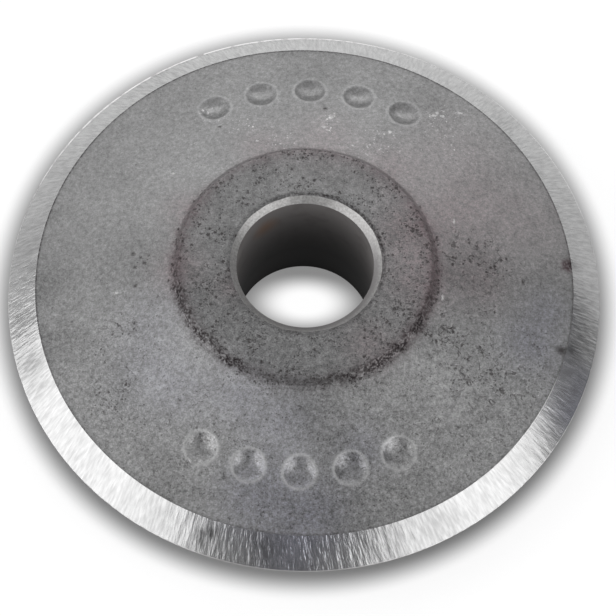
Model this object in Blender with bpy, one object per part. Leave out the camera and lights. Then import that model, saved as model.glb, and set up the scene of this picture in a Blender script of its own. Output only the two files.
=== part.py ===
# A scoring wheel for a hand-operated tile cutter, as one solid: pressed and sintered carbide with its
# edge ground. Its axis is Z, and its cutting edge runs round at Z = 0, halfway between two faces that
# mirror each other. The upper face alone has two rows of shallow pips pressed into its cone.

import math

import bmesh
import bpy
from mathutils import Matrix, Vector

MM = 0.001

# The wheel as a whole
EDGE_DIAMETER = 22.0 * MM
HUB_THICKNESS = 5.72 * MM
BORE_DIAMETER = 5.05 * MM

# The ground bevel on each side of the cutting edge, its angle taken from the wheel's plane
BEVEL_WIDTH = 1.04 * MM
BEVEL_ANGLE = math.radians(42.0)
EDGE_LAND = 0.04 * MM

# The flat boss round the bore, which stands above the cone on a sloping wall
BOSS_FACE_DIAMETER = 9.3 * MM
BOSS_HEIGHT = 0.28 * MM
BOSS_WALL_WIDTH = 0.2 * MM
BOSS_EDGE_RADIUS = 0.1 * MM
BOSS_FOOT_RADIUS = 0.16 * MM

# The countersink at each end of the bore
COUNTERSINK_WIDTH = 0.27 * MM
COUNTERSINK_DEPTH = 0.23 * MM

# The pressed pips, with their rows placed inwards from the bevel's inner edge
PIP_DIAMETER = 1.15 * MM
PIP_DEPTH = 0.17 * MM
PIP_SPACING = 1.85 * MM
PIPS_IN_A_ROW = 5
ROW_INSET = 2.15 * MM
ROW_DIRECTIONS = (math.radians(90.0), math.radians(270.0))

# Facets
TURN_STEPS = 128
CORNER_STEPS = 3
PIP_TURN_STEPS = 24
PIP_ARC_STEPS = 5
CUTTER_RISE = 0.08 * MM
WELD_DISTANCE = 0.0001 * MM

CARBIDE_GREY = (0.27, 0.265, 0.265, 1.0)


def rounded_corner(before, corner, after, radius):
    """The arc of this radius that replaces a corner, tangent to the lines on both sides of it."""
    back = (before - corner).normalized()
    ahead = (after - corner).normalized()
    half_angle = back.angle(ahead) / 2
    centre = corner + (back + ahead).normalized() * radius / math.sin(half_angle)
    start = (corner + back * radius / math.tan(half_angle) - centre).normalized()
    end = (corner + ahead * radius / math.tan(half_angle) - centre).normalized()
    shares = [step / CORNER_STEPS for step in range(CORNER_STEPS + 1)]
    return [centre + start.slerp(end, share) * radius for share in shares]


def face_corners():
    """The upper face's corners as (radius, height), from the bore out to the edge, each with its name."""
    edge_radius = EDGE_DIAMETER / 2
    bore_radius = BORE_DIAMETER / 2
    boss_radius = BOSS_FACE_DIAMETER / 2
    top = HUB_THICKNESS / 2
    bevel_height = EDGE_LAND / 2 + BEVEL_WIDTH * math.tan(BEVEL_ANGLE)
    return {
        "bore": Vector((bore_radius, top - COUNTERSINK_DEPTH)),
        "countersink": Vector((bore_radius + COUNTERSINK_WIDTH, top)),
        "boss_edge": Vector((boss_radius, top)),
        "boss_foot": Vector((boss_radius + BOSS_WALL_WIDTH, top - BOSS_HEIGHT)),
        "bevel": Vector((edge_radius - BEVEL_WIDTH, bevel_height)),
        "edge": Vector((edge_radius, EDGE_LAND / 2)),
    }


def wheel_section():
    """The half section as a closed outline: down the outer side from the bore's top, then up the bore."""
    at = face_corners()
    upper = [at["bore"], at["countersink"]]
    upper += rounded_corner(at["countersink"], at["boss_edge"], at["boss_foot"], BOSS_EDGE_RADIUS)
    upper += rounded_corner(at["boss_edge"], at["boss_foot"], at["bevel"], BOSS_FOOT_RADIUS)
    upper += [at["bevel"], at["edge"]]
    lower = [Vector((point.x, -point.y)) for point in reversed(upper)]
    return upper + lower


def pip_section():
    """A ball's profile from the pip's bottom on its axis up past the face, then in to the axis again."""
    ball_radius = (PIP_DIAMETER**2 / 4 + PIP_DEPTH**2) / (2 * PIP_DEPTH)
    rim_angle = math.acos((ball_radius - PIP_DEPTH - CUTTER_RISE) / ball_radius)
    angles = [rim_angle * step / PIP_ARC_STEPS for step in range(PIP_ARC_STEPS + 1)]
    arc = [
        Vector((ball_radius * math.sin(angle), ball_radius * (1 - math.cos(angle)) - PIP_DEPTH))
        for angle in angles
    ]
    return arc + [Vector((0.0, CUTTER_RISE))]


def turn(shape, section, steps, closed):
    """Turns a (radius, height) section about Z in this bmesh, and gives the points it made."""
    old = set(shape.verts)
    points = [shape.verts.new((point.x, 0.0, point.y)) for point in section]
    pairs = list(zip(points, points[1:]))
    if closed:
        pairs.append((points[-1], points[0]))
    edges = [shape.edges.new(pair) for pair in pairs]
    bmesh.ops.spin(
        shape,
        geom=points + edges,
        axis=(0, 0, 1),
        cent=(0, 0, 0),
        angle=math.tau,
        steps=steps,
        use_merge=True,
    )
    made = [point for point in shape.verts if point not in old]
    bmesh.ops.remove_doubles(shape, verts=made, dist=WELD_DISTANCE)
    return [point for point in shape.verts if point not in old]


def finished_object(name, shape):
    """Makes an object of this bmesh, with its faces pointing out and its corners kept crisp."""
    bmesh.ops.recalc_face_normals(shape, faces=shape.faces)
    mesh = bpy.data.meshes.new(name)
    shape.to_mesh(mesh)
    shape.free()
    mesh.shade_smooth()
    mesh.set_sharp_from_angle(angle=math.radians(25))
    made = bpy.data.objects.new(name, mesh)
    bpy.context.scene.collection.objects.link(made)
    return made


def pip_places():
    """Where each pip sits: its middle on the cone, with local Z along the cone's normal."""
    at = face_corners()
    down_the_cone = at["bevel"] - at["boss_foot"]
    slope = math.atan2(-down_the_cone.y, down_the_cone.x)
    row_radius = at["bevel"].x - ROW_INSET
    row_height = at["bevel"].y + ROW_INSET * math.tan(slope)
    pitch = PIP_SPACING / row_radius
    on_the_row = Matrix.Translation((row_radius, 0, row_height)) @ Matrix.Rotation(slope, 4, "Y")
    places = []
    for direction in ROW_DIRECTIONS:
        for number in range(PIPS_IN_A_ROW):
            angle = direction + (number - (PIPS_IN_A_ROW - 1) / 2) * pitch
            places.append(Matrix.Rotation(angle, 4, "Z") @ on_the_row)
    return places


def make_pip_cutter():
    """All the balls that press the pips, as one hidden object."""
    shape = bmesh.new()
    for place in pip_places():
        points = turn(shape, pip_section(), PIP_TURN_STEPS, closed=False)
        bmesh.ops.transform(shape, matrix=place, verts=points)
    cutter = finished_object("pip_cutter", shape)
    cutter.hide_render = True
    cutter.display_type = "WIRE"
    return cutter


def make_carbide():
    """Sintered carbide: a dull mid-grey metal skin."""
    material = bpy.data.materials.new("sintered_carbide")
    material.use_nodes = True
    shader = material.node_tree.nodes["Principled BSDF"]
    shader.inputs["Base Color"].default_value = CARBIDE_GREY
    shader.inputs["Metallic"].default_value = 1.0
    shader.inputs["Roughness"].default_value = 0.5
    return material


def make_wheel():
    """The turned wheel, with the pips cut into its upper cone."""
    shape = bmesh.new()
    turn(shape, wheel_section(), TURN_STEPS, closed=True)
    wheel = finished_object("scoring_wheel", shape)
    wheel.data.materials.append(make_carbide())
    pips = wheel.modifiers.new("Pressed pips", "BOOLEAN")
    pips.operation = "DIFFERENCE"
    pips.solver = "EXACT"
    pips.object = make_pip_cutter()
    return wheel


def main():
    for old in list(bpy.data.objects):
        bpy.data.objects.remove(old)
    make_wheel()


main()
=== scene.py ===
# The looks of a scoring wheel for a tile cutter: pressed and sintered carbide with a ground edge.
# Lengths in the dictionaries are in millimetres and angles in degrees. What is built is in metres.

import math

import bpy
import numpy as np
from mathutils import Matrix, Vector


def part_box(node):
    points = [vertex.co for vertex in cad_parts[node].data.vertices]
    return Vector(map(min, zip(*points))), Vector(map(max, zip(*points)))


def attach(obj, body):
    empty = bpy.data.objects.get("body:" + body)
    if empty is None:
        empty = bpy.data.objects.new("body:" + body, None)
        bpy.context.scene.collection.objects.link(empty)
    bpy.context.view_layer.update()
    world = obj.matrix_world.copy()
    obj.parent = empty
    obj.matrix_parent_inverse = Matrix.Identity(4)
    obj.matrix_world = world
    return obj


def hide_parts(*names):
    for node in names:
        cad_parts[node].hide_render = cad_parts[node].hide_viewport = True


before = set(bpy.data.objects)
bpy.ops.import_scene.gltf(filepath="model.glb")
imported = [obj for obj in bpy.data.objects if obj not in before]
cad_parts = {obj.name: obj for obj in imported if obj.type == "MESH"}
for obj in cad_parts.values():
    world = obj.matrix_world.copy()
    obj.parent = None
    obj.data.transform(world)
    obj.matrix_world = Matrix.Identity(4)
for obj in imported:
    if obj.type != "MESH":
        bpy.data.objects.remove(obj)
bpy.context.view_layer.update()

mm = 0.001
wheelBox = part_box("scoring_wheel")


# Colours, nodes and objects

def toLinear(hexColour):
    # an sRGB hex colour as linear red, green, blue and full alpha
    parts = [int(hexColour[i:i + 2], 16) / 255 for i in (1, 3, 5)]
    return [c / 12.92 if c <= 0.04045 else ((c + 0.055) / 1.055) ** 2.4 for c in parts] + [1.0]


def perMetre(sizeInMm):
    # the scale that gives a texture features of about this size on Object coordinates
    return 1 / (sizeInMm * mm)


def setInputs(node, inputs):
    # each input, by its name or its number, is set to a value or linked from a socket
    for key, value in inputs.items() if isinstance(inputs, dict) else enumerate(inputs):
        if isinstance(value, bpy.types.NodeSocket):
            node.id_data.links.new(value, node.inputs[key])
        else:
            node.inputs[key].default_value = value


def addNode(tree, kind, inputs=(), output=0, **settings):
    # one shader node with its settings and its inputs, and gives back one of its outputs
    node = tree.nodes.new("ShaderNode" + kind)
    for name, value in settings.items():
        setattr(node, name, value)
    setInputs(node, inputs)
    return node.outputs[output]


def newMaterial(name):
    # a material with its node tree, its shader and the place on the wheel, as Object coordinates
    material = bpy.data.materials.new(name)
    material.use_nodes = True
    tree = material.node_tree
    return material, tree, tree.nodes["Principled BSDF"], addNode(tree, "TexCoord", output="Object")


def readMask(tree, name):
    # one of the masks that the wheel's mesh holds for stains, painted shade and painted highlights, by its
    # name
    return addNode(tree, "Attribute", output="Fac", attribute_name=name)


def addNoise(tree, place, size, detail):
    return addNode(tree, "TexNoise", {"Vector": place, "Scale": perMetre(size), "Detail": detail})


def layOver(tree, cover, below, hexColour, blend="MIX"):
    # a colour laid over the one below it. A Mix node takes its colours at inputs 6 and 7 and gives one at 2
    return addNode(tree, "Mix", {0: cover, 6: below, 7: toLinear(hexColour)}, 2,
                   data_type="RGBA", blend_type=blend)


def spot(tree, place, centre, reach):
    # 1 round this centre, and 0 past its reach in x, y and z
    away = addNode(tree, "VectorMath", (place, [v * mm for v in centre]), operation="SUBTRACT")
    away = addNode(tree, "VectorMath", (away, [v * mm for v in reach]), operation="DIVIDE")
    away = addNode(tree, "VectorMath", (away,), "Value", operation="LENGTH")
    return addNode(tree, "MapRange", (away, 1.0, 0.2))


def addObject(name, data):
    made = bpy.data.objects.new(name, data)
    bpy.context.scene.collection.objects.link(made)
    return made


# The wheel's form

form = {
    "boreDiameter": 5.05,
    "bevelWidth": 1.04,
    "bevelAngle": 42,
    "edgeLand": 0.04,
    "wornEdgeWidth": 0.007,     # the last of the bevel, honed flatter by use
    "wornEdgeAngle": 24,
    "bossFaceDiameter": 9.3,
    "bossHeight": 0.28,
    "bossWallWidth": 0.2,
    "bossEdgeRadius": 0.1,
    "bossFootRadius": 0.16,
    "countersinkWidth": 0.255,
    "countersinkDepth": 0.23,
    "pipDiameter": 1.15,
    "pipDepth": 0.17,
    "pipSpacing": 1.85,
    "pipsInARow": 5,
    "rowInset": 2.15,
    "rowDirections": (90, 270),
    "pipRimRadius": 0.006,
    "pipLip": (0.05, 0.06, 0.012),   # the faint lip round it: how far out it lies, its reach and its height
    "pipMargin": 0.1,           # the rings lie closer at the pips and this far round them,
    "rimWidth": 0.3,            # and along the bevel's inner edge
    "angleSteps": 768,
    "closerSteps": 0.24,        # how much closer the steps lie at the rows of pips
}

# what grinding and pressing left off true
flaws = {
    "bevelShift": 0.042,        # the ground circle sits this far off the axis
    "bevelShiftAngle": 266,
    "bevelShiftReach": 1,       # and the cone inside it follows over this width
    "bevelOval": 0.017,         # it is this much narrower than a circle
    "bevelOvalAngle": 45,
    "bevelDip": (238, 24, 0.018),        # it dips inwards once: middle angle, reach in degrees and depth
    "wornMost": (116, 41, 0.08, 0.06),   # the edge's most worn part: middle angle, reach, width and loss
    "burr": (328, 11, 0.012, 0.01),      # the ridge inside the bevel: middle angle, reach, width and height
    "countersinkShift": 0.045,
    "countersinkShiftAngle": 315,
    "countersinkShiftReach": 0.7,
    "countersinkRaggedness": 0.004,
    "bossRaggedness": 0.008,
    "bossRaggedReach": 0.16,    # how far from the middle of its wall the boss is ragged
    "skinWaves": ((1.5, 0.0045), (0.45, 0.0016)),   # length and height of the skin's waves
    "grindWaves": 0.0011,
    "nickAngle": 6.3,
    "nickDepth": 0.06,
    "nickReach": 0.15,
}


def corners(f):
    # the upper half section's corners as (radius, height), named
    edgeRadius, top = wheelBox[1].x / mm, wheelBox[1].z / mm
    bevelRise = f["bevelWidth"] * math.tan(math.radians(f["bevelAngle"]))
    wornStart = f["edgeLand"] / 2 + f["wornEdgeWidth"] * math.tan(math.radians(f["bevelAngle"]))
    wornFall = f["wornEdgeWidth"] * math.tan(math.radians(f["wornEdgeAngle"]))
    return {
        "middle": (f["boreDiameter"] / 2, 0),
        "bore": (f["boreDiameter"] / 2, top - f["countersinkDepth"]),
        "countersink": (f["boreDiameter"] / 2 + f["countersinkWidth"], top),
        "bossEdge": (f["bossFaceDiameter"] / 2, top),
        "bossFoot": (f["bossFaceDiameter"] / 2 + f["bossWallWidth"], top - f["bossHeight"]),
        "bevel": (edgeRadius - f["bevelWidth"], f["edgeLand"] / 2 + bevelRise),
        "worn": (edgeRadius - f["wornEdgeWidth"], wornStart),
        "edge": (edgeRadius, wornStart - wornFall),
    }


def straightRun(start, end, rings):
    # rings spaced evenly from start to just before end
    share = np.linspace(0, 1, rings, endpoint=False)[:, None]
    return np.array(start) + share * (np.array(end) - np.array(start))


def roundedCorner(before, corner, after, radius, rings):
    # an arc tangent to both lines: its centre lies on their half-angle line, at radius / sin(half angle)
    before, corner, after = (np.array(p, float) for p in (before, corner, after))
    back = (before - corner) / np.linalg.norm(before - corner)
    ahead = (after - corner) / np.linalg.norm(after - corner)
    half = math.acos(back @ ahead) / 2
    middle = (back + ahead) / np.linalg.norm(back + ahead)
    centre = corner + middle * radius / math.sin(half)
    spokes = [corner + side * radius / math.tan(half) - centre for side in (back, ahead)]
    first, last = (math.atan2(spoke[1], spoke[0]) for spoke in spokes)
    turn = (last - first + math.pi) % math.tau - math.pi
    angles = first + turn * np.linspace(0, 1, rings)
    return centre + radius * np.stack([np.cos(angles), np.sin(angles)], axis=1)


def halfProfile(f, detail):
    # the upper half section from the bore's middle to the edge: its rings, the zone that follows each ring,
    # and which rings are sharp
    at = corners(f)
    sink, bossEdge, bossFoot, bevel = (at[name] for name in ("countersink", "bossEdge", "bossFoot", "bevel"))
    edge = roundedCorner(sink, bossEdge, bossFoot, f["bossEdgeRadius"], detail["corner"])
    foot = roundedCorner(bossEdge, bossFoot, bevel, f["bossFootRadius"], detail["corner"])

    # the stations on the cone where the rings' spacing changes: at the pips, the rim's shade and the burr
    coneLine = np.array([foot[-1], bevel])
    rowRadius = bevel[0] - f["rowInset"]
    reach = f["pipDiameter"] / 2 + f["pipMargin"]
    burrWidth = flaws["burr"][2]
    stops = [(radius - coneLine[0, 0]) / (coneLine[1, 0] - coneLine[0, 0])
             for radius in (rowRadius - reach, rowRadius + reach, bevel[0] - f["rimWidth"],
                            bevel[0] - 2 * burrWidth, bevel[0] - burrWidth)]
    stations = [coneLine[0] + stop * (coneLine[1] - coneLine[0]) for stop in stops]
    runs = [
        ("bore", straightRun(at["middle"], at["bore"], detail["bore"]), False),
        ("countersink", straightRun(at["bore"], at["countersink"], detail["countersink"]), True),
        ("skin", straightRun(at["countersink"], edge[0], detail["hub"]), True),
        ("skin", edge, False),
        ("skin", foot[:-1], False),
        ("skin", straightRun(coneLine[0], stations[0], detail["innerCone"]), False),
        ("skin", straightRun(stations[0], stations[1], detail["pips"]), False),
        ("skin", straightRun(stations[1], stations[2], detail["outerCone"]), False),
        ("skin", straightRun(stations[2], stations[3], detail["rim"]), False),
        ("skin", np.array(stations[3:]), False),
        ("bevel", straightRun(at["bevel"], at["worn"], detail["bevel"]), True),
        ("edge", np.array([at["worn"], at["edge"]]), True),
    ]
    rings = np.concatenate([points for zone, points, sharp in runs])
    zones = [zone for zone, points, sharp in runs for point in points]
    sharpRings = [sharp and i == 0 for zone, points, sharp in runs for i in range(len(points))]
    sharpRings[-1] = True
    return rings, zones, sharpRings


def wheelProfile(f):
    # the closed section: out along the upper side, then back along the lower side, which is coarser
    fine = dict(bore=4, countersink=4, hub=18, corner=6, innerCone=13, pips=24, outerCone=7, rim=5, bevel=7)
    coarse = dict(bore=2, countersink=2, hub=4, corner=4, innerCone=3, pips=3, outerCone=2, rim=2, bevel=4)
    upper, upperZones, upperSharp = halfProfile(f, fine)
    lower, lowerZones, lowerSharp = halfProfile(f, coarse)
    lower = lower[1:][::-1] * (1, -1)
    rings = np.concatenate([upper, lower])
    zones = upperZones + lowerZones[1:-1][::-1] + ["bore"]
    return rings, zones, upperSharp + lowerSharp[1:][::-1]


def planeWaves(points, length, seed, count=36):
    # smooth noise of unit spread: many plane waves in random directions, each about this length
    rng = np.random.default_rng(seed)
    heading = rng.normal(size=(count, 3))
    heading *= (rng.uniform(0.6, 1.6, count) * math.tau / length / np.linalg.norm(heading, axis=1))[:, None]
    phase = rng.uniform(0, math.tau, count)
    return np.cos(points @ heading.T + phase).sum(axis=-1) * math.sqrt(2 / count)


def roundTheWheel(angle, lowest, highest, seed, count=40):
    # noise of unit spread that meets itself after one turn: whole numbers of waves between these counts
    rng = np.random.default_rng(seed)
    waves = rng.integers(lowest, highest, count)
    phase = rng.uniform(0, math.tau, count)
    return np.cos(angle[..., None] * waves + phase).sum(axis=-1) * math.sqrt(2 / count)


def ramp(value, low, high):
    # 0 below low, 1 above high and smooth between
    share = np.clip((value - low) / (high - low), 0, 1)
    return share * share * (3 - 2 * share)


def bell(distance, reach):
    # 1 at no distance, and down to 1 / e at the reach
    return np.exp(-(distance / reach) ** 2)


def near(angle, middle, reach):
    # 1 at the middle angle, and down to 1 / e at this many degrees from it, with steep ends
    away = (np.degrees(angle) - middle + 180) % 360 - 180
    return np.exp(-(away / reach) ** 4)


def bevelOffset(angle):
    # how far the ground circle lies outside its true place: one wave round the wheel for its shift,
    # less two waves for its oval and less its dip
    shift = flaws["bevelShift"] * np.cos(angle - math.radians(flaws["bevelShiftAngle"]))
    oval = flaws["bevelOval"] * np.cos(2 * (angle - math.radians(flaws["bevelOvalAngle"])))
    middle, reach, depth = flaws["bevelDip"]
    return shift - oval - depth * near(angle, middle, reach)


def insideBevel(f, points, angle):
    # how far inside the ground circle each point lies
    return corners(f)["bevel"][0] + bevelOffset(angle) - np.hypot(points[..., 0], points[..., 1])


def burrShape(f, points, angle):
    # the ridge that grinding pushed up along a stretch of the bevel's inner edge: a bell curve across,
    # one width inside the bevel
    middle, reach, width, _ = flaws["burr"]
    return near(angle, middle, reach) * bell(insideBevel(f, points, angle) - width, width / 1.5)


def pipCentres(f):
    # each pip's middle on the upper cone, and the cone's normal there
    at = corners(f)
    fall = (at["bossFoot"][1] - at["bevel"][1]) / (at["bevel"][0] - at["bossFoot"][0])
    slope = math.atan(fall)
    radius = at["bevel"][0] - f["rowInset"]
    height = at["bevel"][1] + f["rowInset"] * fall
    order = np.arange(f["pipsInARow"]) - (f["pipsInARow"] - 1) / 2
    angles = np.concatenate([math.radians(d) + order * f["pipSpacing"] / radius for d in f["rowDirections"]])
    outwards = np.stack([np.cos(angles), np.sin(angles), np.zeros(len(angles))], axis=1)
    centres = outwards * radius + (0, 0, height)
    normals = outwards * math.sin(slope) + (0, 0, math.cos(slope))
    return centres, normals


def pressPips(f, points):
    # each pip lowers the skin along its normal by a ball's cap, with a soft rim and a faint lip round it
    reach, depth = f["pipDiameter"] / 2, f["pipDepth"]
    lipOut, lipReach, lipHeight = f["pipLip"]
    ball = (reach ** 2 + depth ** 2) / (2 * depth)
    inPips, onLips = np.zeros(points.shape[:-1]), np.zeros(points.shape[:-1])
    for centre, normal in zip(*pipCentres(f)):
        away = points - centre
        sideways = np.linalg.norm(away - (away @ normal)[..., None] * normal, axis=-1)
        around = (sideways < 3 * reach) & (points[..., 2] > 0)
        cap = np.sqrt(np.maximum(ball ** 2 - sideways ** 2, 0)) - (ball - depth)
        sunk = (cap + np.sqrt(cap ** 2 + f["pipRimRadius"] ** 2)) / 2 - f["pipRimRadius"] ** 2 / 4 / depth
        lip = bell(sideways - reach - lipOut, lipReach)
        points = points + np.where(around, lipHeight * lip - np.maximum(sunk, 0), 0)[..., None] * normal
        inPips = np.maximum(inPips, np.where(around, np.clip(cap / depth, 0, 1), 0))
        onLips = np.maximum(onLips, np.where(around, lip, 0))
    return points, inPips, onLips


def shiftRings(f, radius, height, angle, side):
    # moves the ground circle, the countersink and the boss off true, each along the faces that it lies on
    at = corners(f)
    coneFall = (at["bossFoot"][1] - at["bevel"][1]) / (at["bevel"][0] - at["bossFoot"][0])
    shift = bevelOffset(angle)
    stops = [at["bevel"][0] - flaws["bevelShiftReach"], at["bevel"][0], at["worn"][0]]
    share = np.interp(radius, stops, [0, 1, 0])
    height = height - side * coneFall * share * shift
    moved = radius + share * shift

    # the edge's most worn part: it has drawn back, and the honed strip beside it is wider
    middle, reach, width, loss = flaws["wornMost"]
    retreat = loss * (radius > at["worn"][0] - 1e-6) + width * (np.abs(radius - at["worn"][0]) < 1e-6)
    retreat = retreat * near(angle, middle, reach)
    height = height + side * retreat * math.tan(math.radians(f["bevelAngle"]))
    moved = moved - retreat

    # the countersink's upper circle, shifted and a little ragged
    shift = flaws["countersinkShift"] * np.cos(angle - math.radians(flaws["countersinkShiftAngle"]))
    shift = shift + flaws["countersinkRaggedness"] * roundTheWheel(angle, 3, 36, 11)
    onHub = np.abs(height) > at["bore"][1] - 1e-6
    stops = [at["bore"][0], at["countersink"][0], at["countersink"][0] + flaws["countersinkShiftReach"]]
    share = np.interp(radius, stops, [0, 1, 0])
    moved = moved + np.where(onHub, share * shift, 0)

    # the boss's ragged wall
    rough = roundTheWheel(angle, 5, 36, 21) + 0.5 * roundTheWheel(angle, 36, 110, 22)
    share = bell(radius - at["bossEdge"][0] - f["bossWallWidth"] / 2, flaws["bossRaggedReach"])
    return moved + share * flaws["bossRaggedness"] * rough, height


def wheelSurface(f):
    # the section turned about Z, with each ring's points at its radius times the angle's cosine and sine,
    # then put off true, pressed with pips and given the skin's own waves
    rings, zones, sharpRings = wheelProfile(f)
    angle = np.arange(f["angleSteps"]) / f["angleSteps"] * math.tau
    angle = angle + f["closerSteps"] * np.sin(2 * angle)
    angle, radius = np.meshgrid(angle, rings[:, 0])
    height = np.repeat(rings[:, 1:], f["angleSteps"], axis=1)
    radius, height = shiftRings(f, radius, height, angle, np.sign(height))
    points = np.stack([radius * np.cos(angle), radius * np.sin(angle), height], axis=-1)
    points, inPips, onLips = pressPips(f, points)

    # waves where a ring has this zone on both its sides, then the nick and the burr on the upper side
    isSkin = np.array([zone == "skin" for zone in zones])
    isBevel = np.array([zone == "bevel" for zone in zones])
    inSkin = (isSkin & np.roll(isSkin, 1))[:, None]
    inBevel = (isBevel & np.roll(isBevel, 1))[:, None]
    relief = sum(size * planeWaves(points, length, 31 + i)
                 for i, (length, size) in enumerate(flaws["skinWaves"]))
    grind = flaws["grindWaves"] * roundTheWheel(angle, 50, 200, 41)
    lift = np.where(inSkin, relief * (1 - 0.7 * inPips), 0) + np.where(inBevel, grind, 0)
    nick = math.radians(flaws["nickAngle"])
    nickAt = corners(f)["bevel"][0] * np.array([math.cos(nick), math.sin(nick)])
    toNick = np.linalg.norm(points[..., :2] - nickAt, axis=-1)
    lift = lift - (height > 0) * flaws["nickDepth"] * bell(toNick, flaws["nickReach"])
    lift = lift + (height > 0) * flaws["burr"][3] * burrShape(f, points, angle)
    points[..., 2] += lift * np.sign(height)
    return points, zones, sharpRings, inPips, onLips


# Where the skin is paler, darker, stained, pitted or scuffed: x, y, reach and strength of each soft patch
# on the upper side
patches = {
    "pale": ((-5.9, -2.2, 1.2, 0.25), (-4.8, -4.0, 1.3, 0.6), (-3.1, -5.5, 1.2, 0.4),
             (-1.1, -6.2, 1.0, 0.45), (4.8, -4.1, 1.2, 0.4), (3.6, 0.2, 0.7, 0.3), (1.1, 6.1, 1.2, 0.2),
             (-3.8, -3.3, 0.8, 0.2), (8.2, -4.6, 1.2, 0.3), (5.5, -2.4, 0.8, 0.2), (-2.5, -4.3, 0.6, 0.4)),
    # darker patches; the last three are painted shade just inside the bevel on the wheel's left
    "dimAndRimShade": ((9.2, 0.3, 1.4, 0.4), (6.3, 0.2, 1.1, 0.6), (5.1, 0.0, 0.6, 0.5), (-9.2, 0.3, 1.4, 0.4),
            (-6.2, 0.3, 1.1, 0.5), (0.3, -5.3, 0.8, 0.4), (1.2, -6.3, 1.0, 0.5), (1.6, -9.0, 1.5, 0.65),
            (-1.2, -9.1, 1.2, 0.4), (-8.8, -3.0, 1.0, 0.3), (-5.3, 7.4, 1.8, 0.35), (-7.7, 4.5, 1.6, 0.35),
            (4.0, -8.2, 1.4, 0.3), (0.0, 9.2, 1.8, 0.35), (7.8, 4.5, 1.4, 0.25), (-4.5, -8.0, 1.4, 0.2),
            (4.4, 7.7, 1.5, 0.3), (-6.0, -3.6, 0.8, 0.2), (4.4, -2.7, 0.7, 0.25), (-9.7, -0.5, 0.7, 0.4),
            (-9.4, -2.3, 0.7, 0.35), (-9.4, 2.5, 0.5, 0.35)),
    "warm": ((5.4, 5.4, 1.8, 0.25), (6.9, 3.0, 2.2, 0.35), (5.2, 2.4, 1.5, 0.4), (8.7, 2.4, 1.8, 0.2),
             (3.7, 1.4, 1.2, 0.7), (0.6, 5.2, 1.3, 0.45), (-1.8, 4.9, 0.9, 0.45), (-4.5, 2.2, 0.8, 0.5),
             (-4.6, -0.3, 0.9, 0.7), (4.1, -0.6, 1.2, 0.7), (2.4, -3.2, 0.9, 0.6), (-2.7, -1.1, 0.6, 0.5),
             (3.1, 4.2, 1.1, 0.5), (6.4, -0.2, 1.2, 0.5)),
    "cool": ((-5.5, -2.0, 1.3, 0.25), (-5.6, -4.0, 1.5, 0.3), (-4.4, -4.9, 1.2, 0.3),
             (-2.3, -5.1, 1.1, 0.45), (-0.6, -6.2, 1.3, 0.5), (0.5, -9.2, 1.3, 0.8),
             (-1.6, -8.7, 1.3, 0.7), (2.2, -6.9, 0.9, 0.5), (8.4, -2.3, 1.1, 0.7), (9.0, -0.8, 0.8, 0.5),
             (-0.4, -10.7, 1.0, 0.4), (10.1, -4.6, 0.9, 0.6), (10.4, -3.3, 0.7, 0.4)),
    "pitted": ((5.7, 1.0, 0.9, 0.8), (6.8, 1.0, 0.9, 0.7), (7.5, -0.2, 1.1, 0.5), (5.8, -3.6, 1.1, 0.9),
               (7.0, -3.8, 0.9, 0.7), (4.9, -2.4, 0.7, 0.8), (6.6, -1.8, 1.2, 0.6), (8.4, -2.3, 0.5, 0.9),
               (-6.2, -2.2, 0.9, 0.5), (-6.6, -4.9, 1.4, 0.7), (-7.8, -3.0, 1.2, 0.4),
               (1.8, -6.7, 0.7, 0.6), (-0.1, -6.6, 0.7, 0.6), (-6.1, 0.4, 0.7, 0.7), (-4.9, 2.9, 0.5, 0.6)),
    "cracked": ((6.0, 0.9, 1.0, 1.0), (7.0, 0.2, 0.9, 0.8), (8.5, -2.3, 0.6, 1.0), (7.3, -3.6, 1.3, 1.0),
                (5.6, -3.2, 1.0, 0.8), (6.8, -5.4, 1.6, 0.5), (-6.9, -2.4, 0.8, 0.7),
                (-6.6, -4.9, 1.3, 0.5), (1.9, -6.6, 0.8, 0.8), (-3.8, -7.2, 1.0, 0.4),
                (5.3, 0.3, 0.8, 0.9), (5.4, -1.9, 0.8, 0.8)),
    "scuffed": ((-2.6, 6.0, 1.0, 0.7), (-1.0, 5.2, 0.9, 0.8), (0.7, 5.9, 0.5, 0.8), (2.8, 5.4, 1.0, 0.7),
                (4.6, 6.9, 0.7, 0.8), (5.6, 7.4, 0.5, 0.7), (5.6, 5.6, 1.2, 0.6), (-3.9, 6.6, 0.6, 0.8),
                (0.8, 6.5, 0.4, 0.8), (-4.4, 5.0, 0.8, 0.4), (1.6, 5.0, 0.7, 0.5)),
}

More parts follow.
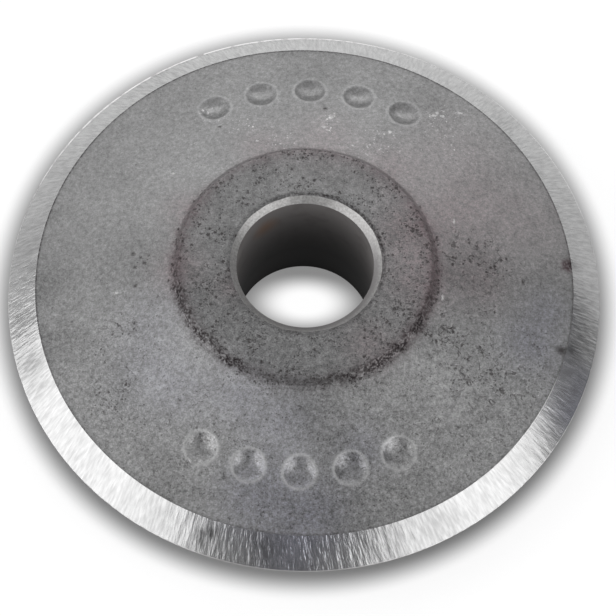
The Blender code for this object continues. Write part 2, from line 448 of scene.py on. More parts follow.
# small bright nicks and single pits in the skin: the middle of each and its reach in x, y and z
ticks = (((5.05, -1.1, 2.5), (0.05, 0.15, 1)), ((5.45, 2.15, 2.4), (0.04, 0.16, 1)),
         ((-5.0, 3.9, 2.2), (0.09, 0.05, 1)), ((-6.9, -1.0, 1.9), (0.12, 0.05, 1)),
         ((0.78, 6.44, 1.9), (0.1, 0.1, 1)), ((0.56, 5.97, 1.9), (0.11, 0.08, 1)),
         ((4.81, 7.15, 1.7), (0.1, 0.1, 1)), ((4.66, 6.99, 1.7), (0.09, 0.08, 1)),
         ((3.03, 5.95, 1.9), (0.09, 0.09, 1)), ((5.63, 7.27, 1.5), (0.09, 0.09, 1)))
pits = (((0.58, 6.9, 1.9), (0.12, 0.09, 1)), ((8.05, 0.08, 1.5), (0.09, 0.16, 1)),
        ((6.98, 0.52, 1.8), (0.07, 0.2, 1)), ((-6.35, 0.52, 1.9), (0.12, 0.12, 1)),
        ((-5.9, 0.1, 2.0), (0.12, 0.1, 1)), ((-6.25, -0.05, 1.9), (0.1, 0.1, 1)),
        ((-6.05, 0.35, 1.9), (0.09, 0.09, 1)), ((-6.2, -0.8, 1.9), (0.12, 0.1, 1)),
        ((-5.75, 0.38, 1.9), (0.08, 0.08, 1)), ((9.5, -2.4, 1.1), (0.3, 0.26, 1)),
        ((-3.35, 6.0, 2.0), (0.12, 0.06, 1)))

# dirt that the grinding lines hold, on the bevel
grime = ((-10.0, -3.3, 0.5, 0.5), (-10.3, -1.5, 0.4, 0.5), (-3.5, -9.83, 0.17, 1.0),
         (-3.1, -9.86, 0.17, 1.0), (-3.5, -10.15, 0.15, 0.7), (-1.2, -10.4, 0.5, 0.4),
         (10.3, -1.2, 0.8, 0.4), (9.9, -2.3, 0.3, 0.6), (3.6, -9.9, 1.0, 0.2), (5.2, -9.2, 0.9, 0.2),
         (7.4, 7.4, 1.5, 0.12), (-5.6, 8.8, 1.3, 0.12), (-10.3, 1.3, 0.8, 0.18), (-10.1, 0.1, 0.6, 0.2),
         (-9.7, -4.2, 0.5, 0.25), (-5.3, -9.2, 0.8, 0.12), (10.2, -0.1, 0.6, 0.22))

# the stains, the painted shade and the other marks that lie in rings and stretches round the wheel, with
# their angles from +X towards +Y
stainsAndPaintedLight = {
    "hubPitting": 0.8,
    "hubFade": 0.25,            # how far past the boss its pitting goes
    "bossRing": 0.145,          # half the width of the dark ring round the boss
    "bossRingOffset": 0.1,
    "bossRingSoot": 0.33,       # how black it is, before the next two stretches add to it
    "ringBlackest": (311, 33),  # a middle angle and its reach, as in the lines below
    "ringSootiest": (217, 31),
    "ringClearest": (93, 73),   # where it has worn away
    "ringInset": 0.12,          # how much further in it lies there
    "ringWander": 0.03,         # how far it strays from a circle
    "rustRing": 0.27,           # half the width of the brown band that it lies in
    "rustFree": (255, 62),
    "pittedRing": 0.4,          # and of the band of pores
    "countersinkRing": 0.065,
    "countersinkRingOffset": 0.055,
    "countersinkRingDarkest": (55, 75),
    "boreEdgeShadeDarkest": (303, 91),      # of the painted shade at the countersink's inner edge
    "rimShadeLine": 0.045,           # painted shade: the dark line inside the bevel
    "rimShadeLineDarkest": (172, 28),
    "rimShade": 0.16,
    "nickInset": 0.13,          # how far inside the bevel the stain at the nick lies
    "nickStain": 0.27,
    "weakestEdgeHighlight": (267, 20),   # where the painted highlight on the cutting edge is weakest
    "twist": 8,                 # how far the bevel's reflection turns, in degrees for each millimetre
    # where the bevel's lines are deeper: middle angle, reach and strength
    "scored": ((267, 21, 0.65), (266.5, 8, 1.1), (277, 7, 0.3), (183, 9, 1.7), (200, 9, 0.25), (347, 8, 0.1),
               (12, 38, 0.4), (118, 50, 0.35)),
}


def patchMask(points, spots, under=0.15):
    # the sum of the spots, each a bell curve of the distance from its middle, and one level on the lower side
    mask = np.zeros(points.shape[:-1])
    for x, y, reach, strength in spots:
        mask += strength * bell(np.hypot(points[..., 0] - x, points[..., 1] - y), reach)
    return np.where(points[..., 2] > 0, np.clip(mask, 0, 1), under)


def stainAndPaintedLightMasks(f, points, inPips, onLips):
    # what the materials read at each point: shares from 0 to 1, apart from flecked and scored, which go
    # higher, and twist, an angle. A ring is a bell curve of the radius, and near() picks a stretch of it
    at = corners(f)
    radius = np.hypot(points[..., 0], points[..., 1])
    angle = np.arctan2(points[..., 1], points[..., 0])
    isUpper = points[..., 2] > 0
    onHub = 1 - ramp(radius, at["bossEdge"][0], at["bossFoot"][0] + stainsAndPaintedLight["hubFade"])

    # the ring round the boss
    clear = near(angle, *stainsAndPaintedLight["ringClearest"])
    heavySide = 1 - 0.85 * clear
    black = near(angle, *stainsAndPaintedLight["ringBlackest"])
    ringRadius = at["bossEdge"][0] + stainsAndPaintedLight["bossRingOffset"] - stainsAndPaintedLight["ringInset"] * clear
    toRing = radius - ringRadius - stainsAndPaintedLight["ringWander"] * roundTheWheel(angle, 7, 70, 51)
    soot = stainsAndPaintedLight["bossRingSoot"] + 0.78 * black + 0.8 * near(angle, *stainsAndPaintedLight["ringSootiest"])
    soot = soot * heavySide * bell(toRing, stainsAndPaintedLight["bossRing"]) * (1 + 0.2 * roundTheWheel(angle, 4, 30, 52))
    rust = bell(toRing, stainsAndPaintedLight["rustRing"]) * (0.25 + 0.45 * heavySide)
    rust = rust * (1 - 0.8 * near(angle, *stainsAndPaintedLight["rustFree"]))
    ringPores = bell(toRing, stainsAndPaintedLight["pittedRing"]) * (0.8 * heavySide + 0.4 * black)

    # the ring round the countersink, and the painted shade line, the nick and the burr inside the bevel
    shift = flaws["countersinkShift"] * np.cos(angle - math.radians(flaws["countersinkShiftAngle"]))
    toSinkRing = radius - at["countersink"][0] - shift - stainsAndPaintedLight["countersinkRingOffset"]
    sinkRing = bell(toSinkRing, stainsAndPaintedLight["countersinkRing"])
    sinkRing = sinkRing * (0.6 + 0.65 * near(angle, *stainsAndPaintedLight["countersinkRingDarkest"]))
    # painted shade on the countersink, darker towards the bore
    nearBore = 1 - 0.7 * ramp(radius, at["bore"][0] + 0.1, at["countersink"][0])
    inside = np.maximum(insideBevel(f, points, angle), 0)
    # painted shade: a dark line just inside the bevel, darkest at the back and on the left
    rimShadeLine = 0.62 + 0.3 * np.sin(angle) + 0.3 * near(angle, *stainsAndPaintedLight["rimShadeLineDarkest"])
    rimShadeLine = rimShadeLine * bell(inside, stainsAndPaintedLight["rimShadeLine"])
    rimShade = 0.5 * np.exp(-inside / stainsAndPaintedLight["rimShade"])
    nick = math.radians(flaws["nickAngle"])
    nickRadius = at["bevel"][0] - stainsAndPaintedLight["nickInset"]
    nickX, nickY = nickRadius * math.cos(nick), nickRadius * math.sin(nick)
    toNick = np.hypot(points[..., 0] - nickX, points[..., 1] - nickY)
    atNick = isUpper * np.exp(-(toNick / stainsAndPaintedLight["nickStain"]) ** 4)
    burrAngle, burrReach, burrWidth, _ = flaws["burr"]
    burr = near(angle, burrAngle, burrReach) * (inside < burrWidth + 0.01)

    # the bevel's reflection turns across its width, most at the wheel's right and not at its front and back
    twist = math.radians(stainsAndPaintedLight["twist"]) * (insideBevel(f, points, angle) + f["bevelWidth"] / 2)
    twist = twist * -np.cos(angle) * (0.65 + 0.35 * np.cos(angle))
    frontHalf = ramp(-points[..., 1], -3.0, 5.0)
    pitted = patchMask(points, patches["pitted"]) + stainsAndPaintedLight["hubPitting"] * onHub + ringPores
    return {
        "warm": patchMask(points, patches["warm"]),
        "cool": patchMask(points, patches["cool"]),
        "pale": patchMask(points, patches["pale"], 0),
        "dimAndRimShade": patchMask(points, patches["dimAndRimShade"], 0),
        "pitted": np.clip(pitted, 0, 1),
        "cracked": patchMask(points, patches["cracked"], 0),
        "scuffed": patchMask(points, patches["scuffed"], 0.05),
        "grimy": patchMask(points, grime, 0.1),
        "flecked": np.clip(0.15 + 0.75 * frontHalf + 0.6 * onHub - 0.15 * np.cos(angle - 2.3), 0, 1.3),
        # soot round the boss and the countersink and at the nick, with the painted shade line inside the
        # bevel
        "sootAndShade": np.clip(soot + sinkRing + rimShadeLine + 0.6 * atNick, 0, 1),
        "rusty": np.clip(rust + atNick, 0, 1),
        # painted shade: just inside the bevel, in the pips, and over the hub, most on its front side
        "shaded": np.clip(rimShade + onHub * (0.75 - 0.3 * np.sin(angle + 0.35)) + 0.2 * inPips, 0, 1),
        "pressed": inPips,
        # painted highlight along the burr and on the pips' lips, stronger on the front half; the same mask
        # makes them less rough
        "polishAndHighlight": isUpper * np.maximum(burr, onLips * (0.12 + 0.14 * frontHalf)),
        # painted shade at the countersink's inner edge, darkest on the front right
        "boreEdgeShade": near(angle, *stainsAndPaintedLight["boreEdgeShadeDarkest"]) * nearBore,
        "scored": sum(strength * near(angle, middle, reach) for middle, reach, strength in stainsAndPaintedLight["scored"]),
        "twist": twist,
        # the painted highlight on the cutting edge is weaker round the front
        "weakerEdgeHighlight": near(angle, *stainsAndPaintedLight["weakestEdgeHighlight"]),
    }


def buildWheel(f, materials):
    points, zones, sharpRings, inPips, onLips = wheelSurface(f)
    ringCount, steps = points.shape[:2]
    mesh = bpy.data.meshes.new("carbide_wheel")
    mesh.vertices.add(ringCount * steps)
    mesh.vertices.foreach_set("co", (points * mm).astype(np.float32).ravel())

    # a quad from each point to the next ring out and the next point round, wound to face outwards
    ring, step = np.meshgrid(np.arange(ringCount), np.arange(steps), indexing="ij")
    nextRing, nextStep = (ring + 1) % ringCount, (step + 1) % steps
    quads = np.stack([ring * steps + step, nextRing * steps + step,
                      nextRing * steps + nextStep, ring * steps + nextStep], axis=-1).reshape(-1, 4)
    mesh.loops.add(quads.size)
    mesh.loops.foreach_set("vertex_index", quads.ravel().astype(np.int32))
    mesh.polygons.add(len(quads))
    mesh.polygons.foreach_set("loop_start", np.arange(0, quads.size, 4, dtype=np.int32))
    order = list(materials)
    slots = np.array([order.index(zone) for zone in zones], np.int32)
    mesh.polygons.foreach_set("material_index", np.repeat(slots, steps))
    mesh.update(calc_edges=True)
    mesh.shade_smooth()

    # an edge that runs round one of the sharp rings stays crisp
    ends = np.empty(len(mesh.edges) * 2, np.int32)
    mesh.edges.foreach_get("vertices", ends)
    endRings = ends.reshape(-1, 2) // steps
    crisp = (endRings[:, 0] == endRings[:, 1]) & np.array(sharpRings)[endRings[:, 0]]
    mesh.attributes.new("sharp_edge", "BOOLEAN", "EDGE").data.foreach_set("value", crisp)

    for name, mask in stainAndPaintedLightMasks(f, points, inPips, onLips).items():
        mesh.attributes.new(name, "FLOAT", "POINT").data.foreach_set("value", mask.astype(np.float32).ravel())
    for material in materials.values():
        mesh.materials.append(material)
    mesh.validate()
    return addObject("carbide_wheel", mesh)


# The wheel's materials

skin = {
    "colour": "#969696",
    "darkGrain": "#666666",
    "paleGrain": "#bdbdbd",
    "toneSwing": 0.33,          # how far a pale or a dim patch moves the colour from one grain to the other
    "shade": "#d0d0d0",         # painted shade; it tints the grain as the two stains under it do
    "warmStain": "#fae8eb",
    "coolStain": "#eeeeff",
    "rust": "#78666a",
    # this colour also lays the painted shade line inside the bevel
    "soot": "#302c2d",
    "pit": "#3f3b3b",
    "fleck": "#454242",
    "scuff": "#e2e1e1",
    # a painted highlight on the burr and the pips' lips
    "paintedHighlight": "#f4f4f4",
    "roughness": 0.52,
    "shinyRoughness": 0.35,     # where the die's pips and the grinding wheel polished the skin
    # The size and the detail of each noise. Real grains and pores are thousandths of a millimetre across,
    # too fine to show, so the grain, the pores and the flecks are drawn as coarse as they need to be
    "noises": {"grain": (0.055, 1.5), "clump": (0.14, 2.0), "mottle": (0.38, 3.0), "cloud": (1.1, 3.0),
               "blotch": (0.09, 3.0), "wobble": (0.055, 1.0), "patch": (0.7, 2.0), "fleck": (0.1, 1.5),
               "scuff": (0.12, 3.0), "crack": (0.45, 2.0), "break": (0.35, 1.0)},
    "layers": (("grain", 1.5), ("clump", 1.5), ("mottle", 0.5), ("cloud", 0.5)),    # their shares of the tone
    "evenContrast": 0.42,       # of the grain, where the skin isn't flecked
    "fleckedContrast": 0.66,    # and where it is
    "poreSpacing": (0.2, 0.1),  # of the large and the small pores
    "poreReach": 0.4,           # the largest of them, as a share of their spacing
    "poreWobble": 0.13,
    "fleckLevels": (0.72, 0.60, 12),    # the noise's level past which flecks show, at none and at all of
    "scuffLevels": (0.76, 0.54, 8),     # their mask, and how sharp they are. The same for scuffs
    "crackWidths": (0.016, 0.04),       # a crack is full within the first, as shares of the noise's swing
    "poreDepth": 0.02,
    "grainDepth": 0.005,
}


def sinteredSkin():
    # Cemented carbide as pressed and sintered: dull mid-grey metal with a fine grain, open pores and
    # furnace stains, with painted shade and painted highlights. A Map Range takes its value, the range that
    # it comes from and the one that it goes to
    material, tree, shader, place = newMaterial("sintered_carbide_skin")
    mask = {name: readMask(tree, name)
            for name in ("pale", "dimAndRimShade", "warm", "cool", "pitted", "cracked", "scuffed", "flecked", "sootAndShade",
                         "rusty", "shaded", "pressed", "polishAndHighlight")}
    noise = {name: addNoise(tree, place, *sizeAndDetail) for name, sizeAndDetail in skin["noises"].items()}

    # the layers of noise, less their mean, swing the base colour between a dark and a pale grey
    sway = -sum(share for layer, share in skin["layers"]) / 2
    for layer, share in skin["layers"]:
        sway = addNode(tree, "Math", (noise[layer], share, sway), operation="MULTIPLY_ADD")
    contrasts = skin["evenContrast"], skin["fleckedContrast"]
    contrast = addNode(tree, "MapRange", (mask["flecked"], 0, 1, *contrasts), clamp=False)
    sway = addNode(tree, "Math", (sway, contrast), operation="MULTIPLY")
    paler = addNode(tree, "Math", (mask["pale"], mask["dimAndRimShade"]), operation="SUBTRACT")
    sway = addNode(tree, "Math", (paler, skin["toneSwing"], sway), operation="MULTIPLY_ADD")
    tone = addNode(tree, "MapRange", (sway, -0.5, 0.5))
    colour = addNode(tree, "ValToRGB", (tone,))
    tones = colour.node.color_ramp.elements
    tones[0].color = toLinear(skin["darkGrain"])
    tones[1].color = toLinear(skin["paleGrain"])
    tones.new(0.5).color = toLinear(skin["colour"])

    # pores: round cells of uneven size, each open where its own random number is under the pitted mask
    wobble = noise["wobble"].node.outputs["Color"]
    wobble = addNode(tree, "VectorMath", (wobble, (0.5, 0.5, 0.5)), operation="SUBTRACT")
    wobble = addNode(tree, "VectorMath", {0: wobble, "Scale": skin["poreWobble"] * mm}, operation="SCALE")
    shaken = addNode(tree, "VectorMath", (place, wobble), operation="ADD")
    patchy = addNode(tree, "MapRange", (noise["patch"], 0.35, 0.65, 0.2, 1.2))
    openness = addNode(tree, "Math", (mask["pitted"], patchy), operation="MULTIPLY")
    pores = 0.0
    for spacing in skin["poreSpacing"]:
        cells = addNode(tree, "TexVoronoi", {"Vector": shaken, "Scale": perMetre(spacing)}).node.outputs
        chance = addNode(tree, "SeparateColor", (cells["Color"],))
        reach = addNode(tree, "Math", (openness, chance), operation="SUBTRACT", use_clamp=True)
        reach = addNode(tree, "Math", (reach, 0.9), operation="MULTIPLY")
        reach = addNode(tree, "Math", (reach, skin["poreReach"]), operation="MINIMUM")
        pore = addNode(tree, "Math", (reach, cells["Distance"]), operation="SUBTRACT")
        pore = addNode(tree, "Math", (pore, 5.0), operation="MULTIPLY", use_clamp=True)
        pores = addNode(tree, "Math", (pores, pore), operation="MAXIMUM")

    # flecks and scuffs: where fine noise passes a level that sinks as their mask grows
    flecked = addNode(tree, "Math", (mask["flecked"], patchy), operation="MULTIPLY")
    marks = {}
    for name, amount in (("fleck", flecked), ("scuff", mask["scuffed"])):
        none, full, sharpness = skin[name + "Levels"]
        level = addNode(tree, "MapRange", (amount, 0, 1, none, full))
        above = addNode(tree, "Math", (noise[name], level), operation="SUBTRACT")
        marks[name] = addNode(tree, "Math", (above, sharpness), operation="MULTIPLY", use_clamp=True)

    # cracks: the thin lines where a noise crosses its middle, broken up into short worms by another
    crossing = addNode(tree, "Math", (noise["crack"], 0.5), operation="SUBTRACT")
    crossing = addNode(tree, "Math", (crossing,), operation="ABSOLUTE")
    cracks = addNode(tree, "MapRange", (crossing, *skin["crackWidths"], 1, 0))
    for share in (addNode(tree, "MapRange", (noise["break"], 0.5, 0.58)), mask["cracked"]):
        cracks = addNode(tree, "Math", (cracks, share), operation="MULTIPLY")
    for name, places in (("tick", ticks), ("sunken", pits)):
        marks[name] = 0.0
        for centre, reach in places:
            single = spot(tree, shaken, centre, reach)
            marks[name] = addNode(tree, "Math", (marks[name], single), operation="MAXIMUM")

    # what lies on the base colour, in order: its mask, strength, colour and what breaks it up
    uneven = addNode(tree, "MapRange", (noise["clump"], 0.3, 0.7, 0.5, 1.3))
    broken = addNode(tree, "MapRange", (noise["blotch"], 0.36, 0.6, 0.4, 1.4))
    layers = ((mask["shaded"], 0.8, "shade", None), (mask["warm"], 0.85, "warmStain", uneven),
              (mask["cool"], 0.7, "coolStain", uneven), (mask["rusty"], 0.75, "rust", broken),
              (marks["fleck"], 0.6, "fleck", None), (mask["sootAndShade"], 0.8, "soot", broken),
              (pores, 0.8, "pit", None), (cracks, 0.6, "pit", None), (marks["sunken"], 0.85, "pit", None),
              (marks["scuff"], 0.8, "scuff", None), (marks["tick"], 0.75, "scuff", None),
              (mask["polishAndHighlight"], 0.95, "paintedHighlight", None))
    for amount, strength, tint, breaks in layers:
        cover = addNode(tree, "Math", (amount, strength), operation="MULTIPLY")
        if breaks:
            cover = addNode(tree, "Math", (cover, breaks), operation="MULTIPLY", use_clamp=True)
        blend = "MULTIPLY" if tint in ("shade", "warmStain", "coolStain") else "MIX"
        colour = layOver(tree, cover, colour, skin[tint], blend)

    height = addNode(tree, "Math", (noise["grain"], skin["grainDepth"] * mm), operation="MULTIPLY")
    sunk = addNode(tree, "Math", (pores, cracks), operation="MAXIMUM")
    height = addNode(tree, "Math", (sunk, -skin["poreDepth"] * mm, height), operation="MULTIPLY_ADD")
    bump = addNode(tree, "Bump", {"Height": height, "Distance": 1.0})
    polished = addNode(tree, "Math", (mask["pressed"], mask["polishAndHighlight"]), operation="MAXIMUM")
    roughness = addNode(tree, "MapRange", (polished, 0, 1, skin["roughness"], skin["shinyRoughness"]))
    setInputs(shader, {"Base Color": colour, "Metallic": 1.0, "Roughness": roughness, "Normal": bump})
    return material


ground = {
    "colour": "#bfbfbf",
    "dark": "#a4a4a4",
    "grime": "#6b6b6b",
    "coolStain": "#ebecff",
    "roughness": 0.25,
    "anisotropy": 0.35,
    "tilt": 8,                  # the lines' angle from the radius
    # Spacing, length and depth of the fine and the coarse lines. Grit leaves lines a few hundredths of a
    # millimetre apart, too fine to show, so both are drawn coarser
    "lines": ((0.085, 0.32, 0.0042), (0.25, 0.9, 0.0065)),
    "scoredDepth": 3.5,         # how much deeper the lines are where the bevel is scored
}


def groundBevel():
    # The same carbide ground with a diamond wheel: bright, with fine lines that run nearly straight out
    material, tree, shader, place = newMaterial("ground_carbide_bevel")
    mask = {name: readMask(tree, name) for name in ("grimy", "cool", "scored", "twist")}
    flat = addNode(tree, "VectorMath", (place, (1, 1, 0)), operation="MULTIPLY")
    radius = addNode(tree, "VectorMath", (flat,), "Value", operation="LENGTH")
    outwards = addNode(tree, "VectorMath", (flat,), operation="NORMALIZE")
    middle = wheelBox[1].x - form["bevelWidth"] * mm / 2
    slant = -math.tan(math.radians(ground["tilt"])) / middle
    angle = addNode(tree, "Math", (radius, slant, -slant * middle), operation="MULTIPLY_ADD")
    turned = addNode(tree, "VectorRotate", {"Vector": outwards, "Angle": angle}, rotation_type="Z_AXIS")
    onCircle = addNode(tree, "VectorMath", {0: turned, "Scale": middle}, operation="SCALE")

    # noise on a circle, with the radius as a slow third direction, makes lines that run outwards
    lines, height = [], 0.0
    for spacing, length, depth in ground["lines"]:
        along = addNode(tree, "Math", (radius, spacing / length), operation="MULTIPLY")
        lift = addNode(tree, "CombineXYZ", {"Z": along})
        lineSpace = addNode(tree, "VectorMath", (onCircle, lift), operation="ADD")
        line = addNoise(tree, lineSpace, spacing, 2.0)
        height = addNode(tree, "Math", (line, depth * mm, height), operation="MULTIPLY_ADD")
        lines.append(line)
    deeper = addNode(tree, "MapRange", (mask["scored"], 0, 1, 1, ground["scoredDepth"]), clamp=False)
    height = addNode(tree, "Math", (height, deeper), operation="MULTIPLY")
    bump = addNode(tree, "Bump", {"Height": height, "Distance": 1.0})
    twisted = addNode(tree, "VectorRotate", {"Vector": bump, "Angle": mask["twist"]}, rotation_type="Z_AXIS")

    # the lines' tone, the dirt that the fine ones hold and the cool stain, one over the other
    fine, coarse = lines
    tone = addNode(tree, "Math", (coarse, 0.5, fine), operation="MULTIPLY_ADD")
    tone = addNode(tree, "MapRange", (tone, 0.5, 1.0))
    inLines = addNode(tree, "MapRange", (fine, 0.4, 0.6, 1.3, 0.6))
    dirt = addNode(tree, "Math", (mask["grimy"], inLines), operation="MULTIPLY", use_clamp=True)
    colour = toLinear(ground["dark"])
    for cover, tint, blend in ((tone, "colour", "MIX"), (dirt, "grime", "MIX"),
                               (mask["cool"], "coolStain", "MULTIPLY")):
        colour = layOver(tree, cover, colour, ground[tint], blend)
    setInputs(shader, {
        "Base Color": colour, "Metallic": 1.0, "Roughness": ground["roughness"], "Normal": twisted,
        "Anisotropic": ground["anisotropy"],
        "Tangent": addNode(tree, "Tangent", direction_type="RADIAL", axis="Z")})
    return material


# the grain is drawn coarser than it is, as the skin's is
# its darker colour is painted shade at the countersink's inner edge
pressed = {"colour": "#c4c3c2", "dark": "#9e9d9c", "paintedShade": "#949292", "roughness": 0.52, "grainSize": 0.08,
           "grainDepth": 0.004}


def pressedCountersink():
    # Carbide that the die's polished pin shaped: paler than the open skin, and without its pores
    material, tree, shader, place = newMaterial("pressed_carbide_countersink")
    boreEdgeShade = readMask(tree, "boreEdgeShade")
    grain = addNoise(tree, place, pressed["grainSize"], 3.0)
    shade = addNode(tree, "MapRange", (grain, 0.3, 0.7))
    colour = toLinear(pressed["dark"])
    # the grain's tone, then painted shade towards the bore
    for cover, tint in ((shade, "colour"), (boreEdgeShade, "paintedShade")):
        colour = layOver(tree, cover, colour, pressed[tint])
    bump = addNode(tree, "Bump", {"Height": grain, "Distance": pressed["grainDepth"] * mm})
    setInputs(shader, {"Base Color": colour, "Metallic": 1.0, "Roughness": pressed["roughness"],
                       "Normal": bump})
    return material


boreWall = {
    "colour": "#787574",
    "grime": "#6a6665",
    "grainSize": 0.6,
    "rust": "#7d6a5e",
    "rustAt": (-1.52, 2.02, 1.55),
    "rustReach": (0.7, 0.7, 0.7),
    # painted shade, darker with depth
    "depthShade": "#2b2a2a",
    "depthShadeAt": -1.0,             # the height at which the painted shade is at its darkest
    "sidesClearer": 0.09,       # how much deeper it starts at the bore's sides, by the square of X
    "roughness": 0.7,
    "gloss": 0.15,
}


def boreWithDepthShade():
    # The bore: matt, with a grainy grime and one spot of rust, and painted shade that darkens it with depth
    material, tree, shader, place = newMaterial("carbide_bore_painted_depth_shade")
    grain = addNoise(tree, place, boreWall["grainSize"], 4.0)
    grimy = addNode(tree, "MapRange", (grain, 0.5, 0.7, 0, 0.7))
    rusty = spot(tree, place, boreWall["rustAt"], boreWall["rustReach"])
    # painted shade: darker with depth, starting deeper at the bore's sides
    sideways, _, height = addNode(tree, "SeparateXYZ", (place,)).node.outputs
    square = addNode(tree, "Math", (sideways, sideways), operation="MULTIPLY")
    height = addNode(tree, "Math", (square, boreWall["sidesClearer"] / mm, height), operation="MULTIPLY_ADD")
    depth = addNode(tree, "MapRange", (height, corners(form)["bore"][1] * mm, boreWall["depthShadeAt"] * mm))
    colour = toLinear(boreWall["colour"])
    for cover, tint in ((grimy, "grime"), (rusty, "rust"), (depth, "depthShade")):
        colour = layOver(tree, cover, colour, boreWall[tint])
    setInputs(shader, {"Base Color": colour, "Roughness": boreWall["roughness"],
                       "Specular IOR Level": boreWall["gloss"]})
    return material


# real chips in it are too fine to show, so they are drawn as longer dull stretches
# its near-white colour is a painted highlight, dimmer round the front
worn = {"colour": "#f2f1f1", "dull": "#a8a6a6", "dimmedHighlight": "#979595", "roughness": 0.28, "chipSize": 0.3}


def wornEdgeWithHighlight():
    # The cutting edge itself, polished by the tiles it has scored, with a near-white colour as a painted
    # highlight: the brightest line on the wheel
    material, tree, shader, place = newMaterial("worn_carbide_edge_painted_highlight")
    dimmedHighlight = readMask(tree, "weakerEdgeHighlight")
    chips = addNoise(tree, place, worn["chipSize"], 3.0)
    shade = addNode(tree, "MapRange", (chips, 0.3, 0.5))
    colour = toLinear(worn["dull"])
    for cover, tint in ((shade, "colour"), (dimmedHighlight, "dimmedHighlight")):
        colour = layOver(tree, cover, colour, worn[tint])
    setInputs(shader, {"Base Color": colour, "Metallic": 1.0, "Roughness": worn["roughness"]})
    return material


print("Materials")
materials = {
    "skin": sinteredSkin(),
    "bevel": groundBevel(),
    "countersink": pressedCountersink(),
    "bore": boreWithDepthShade(),
    "edge": wornEdgeWithHighlight(),
}
print("Wheel")
wheelPiece = buildWheel(form, materials)
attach(wheelPiece, "root")
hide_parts("scoring_wheel")


# The studio: a pale table, four softboxes, two cards and a dim room

table = {
    "colour": "#a8a8a8",
    "halfWidth": 1500,
    "glow": 0.72,               # what the picture's white background adds, away from the wheel
    "glowCentre": 1.14,         # how far behind the wheel's axis the middle of the shadow in it lies
    "glowSquash": 1.004,        # how much narrower than a circle that shadow is, across
    "glowStart": 11.05,         # from here to the next it goes from no glow to all of it
    "glowEnd": 12.22,
    "glowFade": (15, 45, 0.65),  # past the picture it fades: from here to here, down to this share
    "boreGlow": 0.95,           # and what it adds under the bore
    "boreGlowCentre": (0.03, 1.08),
    "boreGlowReach": (1.81, 1.01),
    "boreGlowFade": (0.36, 1.31, 0.2),  # as shares of that reach: from here to here, down to this glow
}


def buildTable():
    half, level = table["halfWidth"] * mm, wheelBox[0].z
    mesh = bpy.data.meshes.new("table")
    sides = ((-half, -half), (half, -half), (half, half), (-half, half))
    mesh.from_pydata([(x, y, level) for x, y in sides], [], [(0, 1, 2, 3)])
    material, tree, shader, place = newMaterial("matt_white_card")
    flat = addNode(tree, "VectorMath", (place, (1, 1, 0)), operation="MULTIPLY")
    radius = addNode(tree, "VectorMath", (flat,), "Value", operation="LENGTH")

    # the glow round the wheel
    squashed = addNode(tree, "VectorMath", (flat, (table["glowSquash"], 1, 1)), operation="MULTIPLY")
    shifted = addNode(tree, "VectorMath", (squashed, (0, table["glowCentre"] * mm, 0)), "Value",
                      operation="DISTANCE")
    outer = addNode(tree, "MapRange", {
        "Value": shifted, "From Min": table["glowStart"] * mm, "From Max": table["glowEnd"] * mm,
        "To Max": table["glow"]}, interpolation_type="SMOOTHSTEP")
    fadeStart, fadeEnd, faded = table["glowFade"]
    fade = addNode(tree, "MapRange", (radius, fadeStart * mm, fadeEnd * mm, 1, faded))
    outer = addNode(tree, "Math", (outer, fade), operation="MULTIPLY")

    # the glow under the bore, an oval
    centre = [v * mm for v in table["boreGlowCentre"]] + [0]
    reach = [v * mm for v in table["boreGlowReach"]] + [1]
    offset = addNode(tree, "VectorMath", (flat, centre), operation="SUBTRACT")
    scaled = addNode(tree, "VectorMath", (offset, reach), operation="DIVIDE")
    away = addNode(tree, "VectorMath", (scaled,), "Value", operation="LENGTH")
    fadeStart, fadeEnd, faded = table["boreGlowFade"]
    inner = addNode(tree, "MapRange", (away, fadeStart, fadeEnd, table["boreGlow"], faded),
                    interpolation_type="SMOOTHSTEP")
    underBore = addNode(tree, "Math", (radius, corners(form)["countersink"][0] * mm), operation="LESS_THAN")
    inner = addNode(tree, "Math", (inner, underBore), operation="MULTIPLY")
    glow = addNode(tree, "Math", (outer, inner), operation="ADD")

    # only camera, glossy and transmission rays see the glow, so that it doesn't light the wheel
    rays = addNode(tree, "LightPath").node.outputs
    seen = rays["Is Camera Ray"]
    for ray in ("Is Glossy Ray", "Is Transmission Ray"):
        seen = addNode(tree, "Math", (seen, rays[ray]), operation="MAXIMUM")
    glow = addNode(tree, "Math", (glow, seen), operation="MULTIPLY")
    setInputs(shader, {
        "Base Color": toLinear(table["colour"]), "Roughness": 1.0, "Specular IOR Level": 0.0,
        "Emission Color": (1, 1, 1, 1), "Emission Strength": glow})
    mesh.materials.append(material)
    piece = addObject("table", mesh)


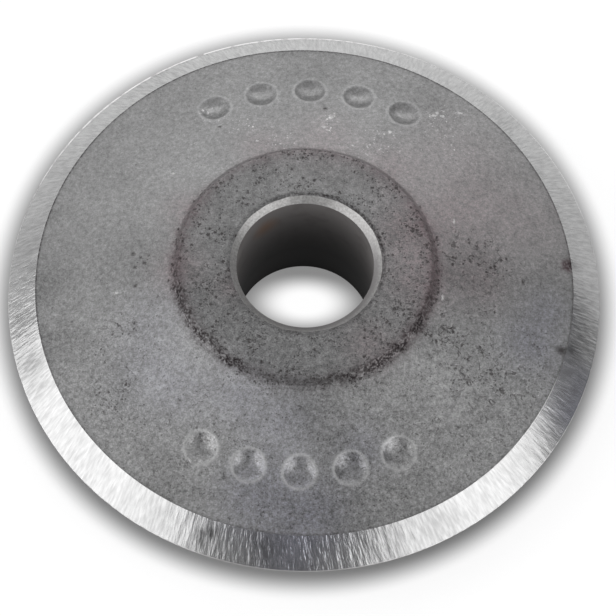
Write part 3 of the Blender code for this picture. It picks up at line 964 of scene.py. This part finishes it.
# Each softbox or card by the way it lies from the wheel, as angles: round from the camera's side towards +X,
# and up. Its width and height are the angles it fills, and its glow is what a mirror would show
softboxes = {
    "right_softbox": dict(around=53, up=26, width=51, height=52, glow=1.85),
    "left_softbox": dict(around=-69.8, up=25, width=67.6, height=50, glow=1.9),
    "back_softbox": dict(around=184, up=33, width=88, height=40, glow=1.3),
    "top_softbox": dict(around=0, up=90, width=60, height=60, glow=0.45),
    "right_card": dict(around=118, up=6, width=16, height=12, glow=0.6),
    "left_card": dict(around=-118, up=6, width=16, height=12, glow=0.6),
}
studio = {"distance": 600, "room": "#787879"}


def lightStudio():
    for name, box in softboxes.items():
        around, up = math.radians(box["around"]), math.radians(box["up"])
        way = Vector((math.sin(around) * math.cos(up), -math.cos(around) * math.cos(up), math.sin(up)))
        distance = studio["distance"] * mm
        lamp = bpy.data.lights.new(name, "AREA")
        lamp.shape = "RECTANGLE"
        lamp.size = 2 * distance * math.tan(math.radians(box["width"]) / 2)
        lamp.size_y = 2 * distance * math.tan(math.radians(box["height"]) / 2)
        lamp.energy = box["glow"] * math.pi * lamp.size * lamp.size_y
        holder = addObject(name, lamp)
        holder.location = way * distance
        holder.rotation_euler = (-way).to_track_quat("-Z", "Y").to_euler()
        holder.visible_camera = False
    world = bpy.data.worlds.new("dim_room")
    world.use_nodes = True
    world.node_tree.nodes["Background"].inputs["Color"].default_value = toLinear(studio["room"])
    bpy.context.scene.world = world


# The camera that took the photograph, as its distance, height angle, roll and the point it looks at
photoCamera = {"distance": 147.71, "up": 64.35, "roll": 1.71, "target": (0.148, -0.485, 0),
               "lens": 231.9, "sensor": 36}


def placeCamera():
    up, roll = math.radians(photoCamera["up"]), math.radians(photoCamera["roll"])
    stand = Vector((0, -math.cos(up), math.sin(up))) * photoCamera["distance"] * mm
    ahead = (Vector(photoCamera["target"]) * mm - stand).normalized()
    level = ahead.cross(Vector((0, 0, 1))).normalized()
    above = level.cross(ahead)
    right = level * math.cos(roll) + above * math.sin(roll)
    top = above * math.cos(roll) - level * math.sin(roll)
    data = bpy.data.cameras.new("photo_camera")
    data.lens, data.sensor_width = photoCamera["lens"], photoCamera["sensor"]
    data.clip_start, data.clip_end = 0.01, 10
    camera = addObject("photo_camera", data)
    camera.matrix_world = Matrix.Translation(stand) @ Matrix((right, top, -ahead)).transposed().to_4x4()
    bpy.context.scene.camera = camera


print("Studio and camera")
buildTable()
lightStudio()
placeCamera()
bpy.context.scene.view_settings.view_transform = "Standard"
